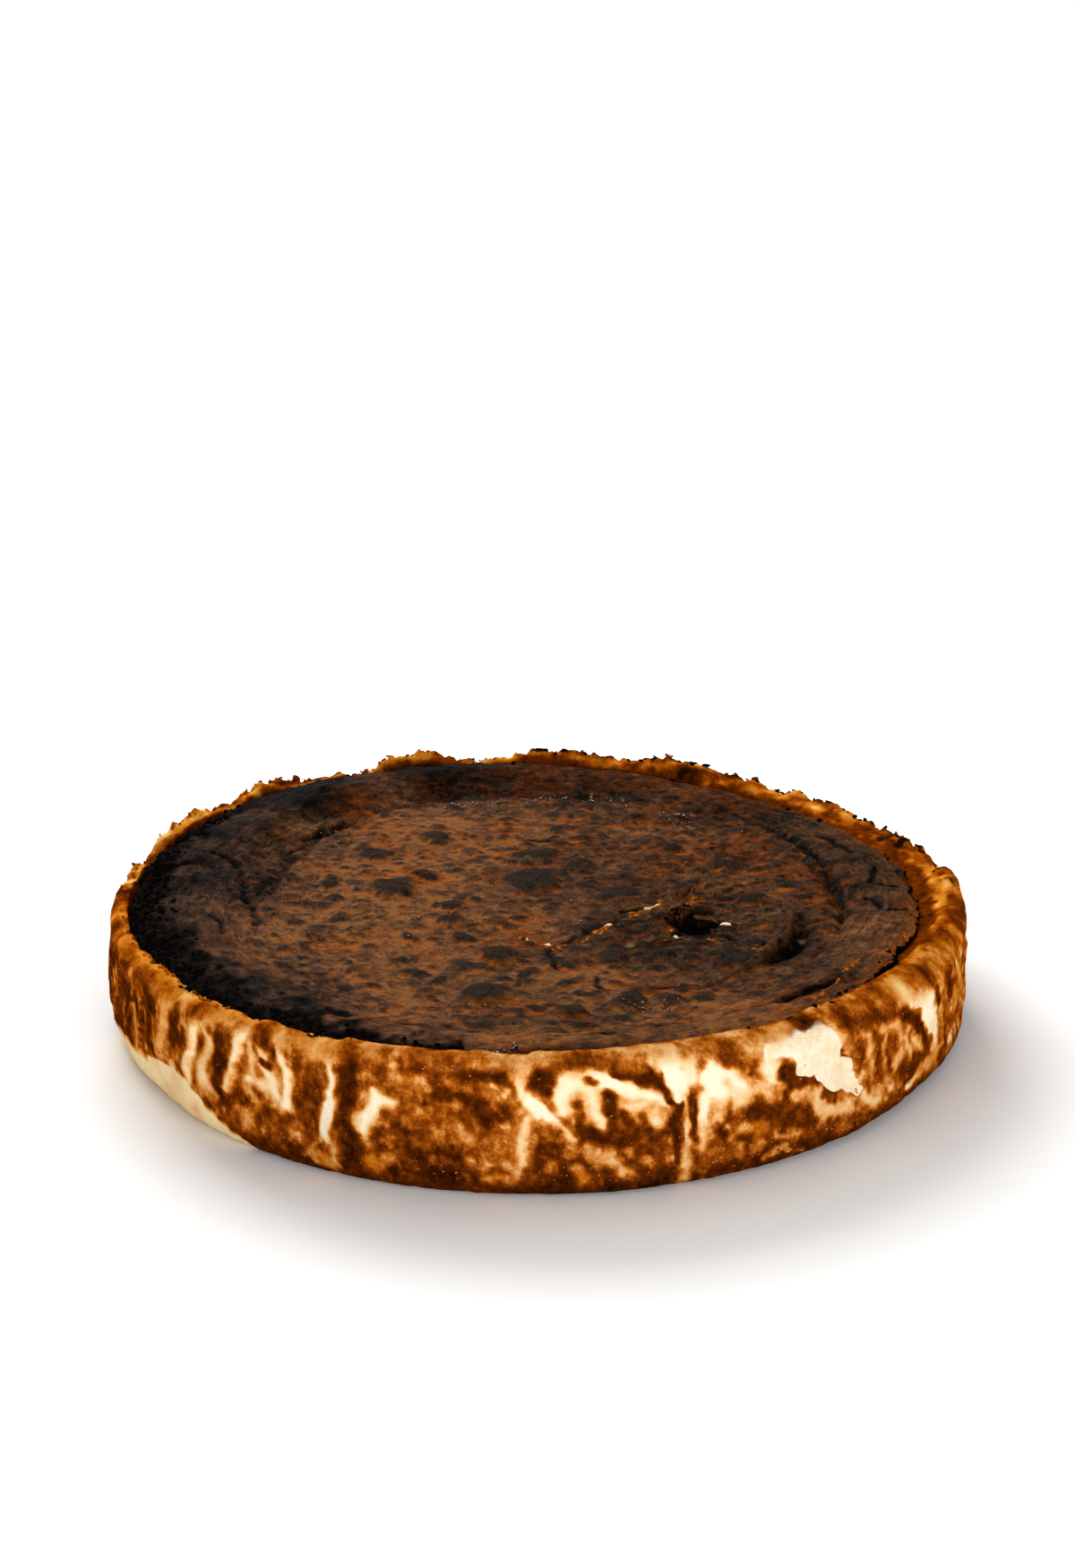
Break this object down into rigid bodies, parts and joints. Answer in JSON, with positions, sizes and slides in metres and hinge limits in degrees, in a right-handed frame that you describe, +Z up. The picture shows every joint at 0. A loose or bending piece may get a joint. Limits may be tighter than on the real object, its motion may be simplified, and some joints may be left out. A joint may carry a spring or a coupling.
{
  "type": "cheesecake",
  "caption": "Whole round burnt cheesecake: dark blistered skin sunk inside a ragged golden rim, marbled brown and cream side with the pleats of baking paper, flat underside.",
  "frame": {"origin": "centre of the flat underside, where the cake rests", "axes": "+Z up through the cake; -Y is the front that the picture shows, +X its right side"},
  "size_m": [0.2613, 0.2611, 0.0451],
  "materials": {
    "side_crust": "satin",
    "burnt_skin": "satin"
  },
  "bodies": {
    "root": {"cheesecake": "side_crust"}
  },
  "joints": []
}
